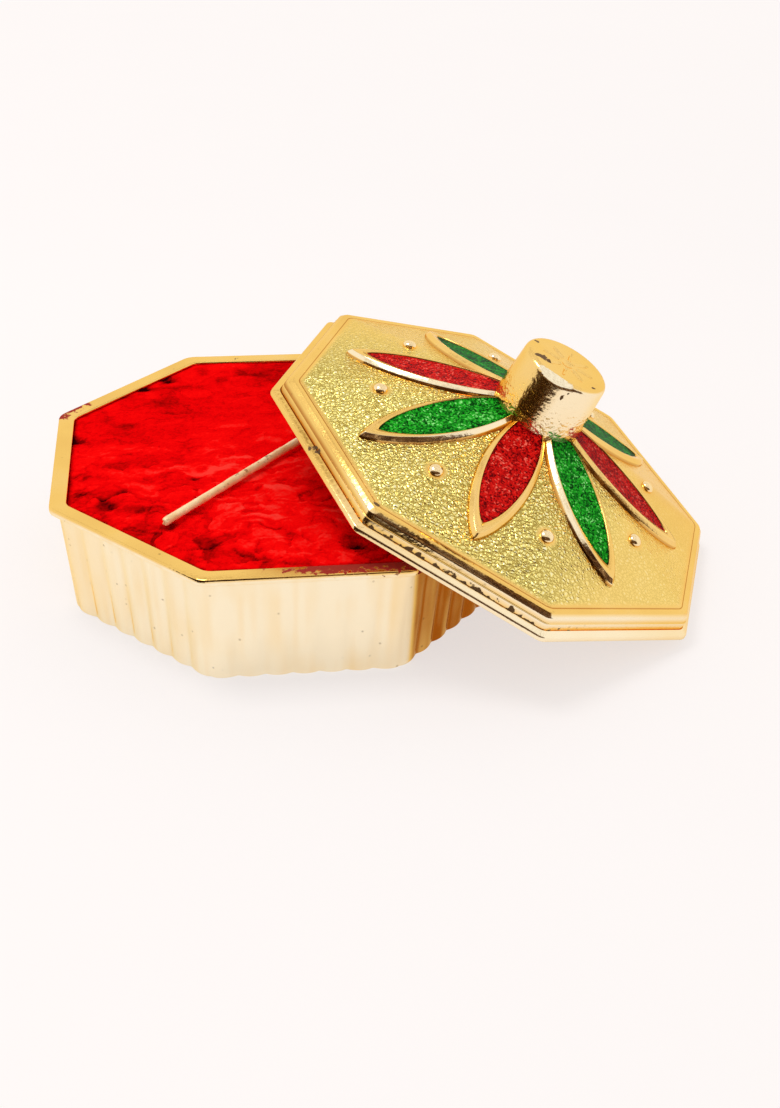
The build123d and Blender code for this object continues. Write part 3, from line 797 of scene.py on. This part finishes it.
def mirrored_card(name, size, place, patch_scale, tones):
    """Plane of glowing patches that only polished surfaces see."""
    bpy.ops.mesh.primitive_plane_add(size=1.0)
    card = bpy.context.active_object
    card.name = name
    card.matrix_world = place @ Matrix.Diagonal((*size, 1, 1))
    paint, shader, spot = new_material(name + " paint")
    sized = add_node(paint, "Mapping", {"Vector": spot, "Scale": (*size, 1)}).outputs["Vector"]
    glow = colour_row(paint, carried(paint, noise(paint, sized, patch_scale, 3.0), 0.3, 0.7, 0.0, 1.0), tones)
    connect(paint, shader, {"Base Color": (0, 0, 0, 1), "Specular IOR Level": 0.0})
    connect(paint, shader, {"Emission Color": glow, "Emission Strength": 1.0})
    card.data.materials.append(paint)
    card.visible_camera = False
    card.visible_diffuse = False
    card.visible_shadow = False


def standing(x, y, height, turn):
    """Place of a card that stands on the table, square to a heading."""
    upright = Matrix.Rotation(turn + np.pi / 2, 4, "Z") @ Matrix.Rotation(np.pi / 2, 4, "X")
    return Matrix.Translation((x, y, height / 2)) @ upright


ceiling = Matrix.Translation(ceiling_place)
mirrored_card("ceiling", (ceiling_side, ceiling_side), ceiling, ceiling_patches, ceiling_tones)
room_place = room_distance * np.cos(room_turn), room_distance * np.sin(room_turn)
dark_room = standing(*room_place, room_height, room_turn)
mirrored_card("dark_room", (room_width, room_height), dark_room, room_patches, room_tones)
dark_chair = standing(*chair_place, chair_height, chair_turn)
mirrored_card("dark_chair", (chair_width, chair_height), dark_chair, chair_patches, chair_tones)

lamp = bpy.data.lights.new("lamp", "AREA")
lamp.shape = "SQUARE"
lamp.size = lamp_side
lamp.energy = lamp_power
lamp_object = bpy.data.objects.new("lamp", lamp)
lamp_object.matrix_world = Matrix.Translation(lamp_place) @ Matrix.Rotation(lamp_tilt, 4, "Y")
bpy.context.scene.collection.objects.link(lamp_object)

room = bpy.data.worlds.new("room")
bpy.context.scene.world = room
room.use_nodes = True
level = carried(room, seen_directly(room), 0.0, 1.0, room_level, 1.0)
connect(room, room.node_tree.nodes["Background"], {"Color": (*sky_colour, 1), "Strength": level})

# Camera: where the photograph was taken from, as fitted to the corners of the rim, the foot, the lid and its petals.
# Its turn is about the vertical, its rise above the table, and its target the point that it looks at, in metres.
focal_pixels, photo_height, sensor_size = 1470.45, 1108, 36
camera_turn, camera_rise, camera_roll = np.radians([-8.856, 32.277, 2.124])
camera_distance, camera_target = 0.181643, np.array([0.0112107, -0.0176087, 0.01])
back = np.array([
    np.sin(camera_turn) * np.cos(camera_rise), -np.cos(camera_turn) * np.cos(camera_rise), np.sin(camera_rise),
])
right = np.array([np.cos(camera_turn), np.sin(camera_turn), 0])
up = np.cross(back, right)
rolled_right = right * np.cos(camera_roll) + up * np.sin(camera_roll)
rolled_up = up * np.cos(camera_roll) - right * np.sin(camera_roll)
camera_place = np.eye(4)
camera_place[:3] = np.column_stack([rolled_right, rolled_up, back, camera_target + back * camera_distance])
camera = bpy.data.objects.new("camera", bpy.data.cameras.new("camera"))
camera.matrix_world = Matrix(camera_place.tolist())
camera.data.lens = focal_pixels * sensor_size / photo_height
camera.data.clip_start = 0.01
bpy.context.scene.collection.objects.link(camera)
bpy.context.scene.camera = camera
bpy.context.scene.view_settings.view_transform = "Standard"
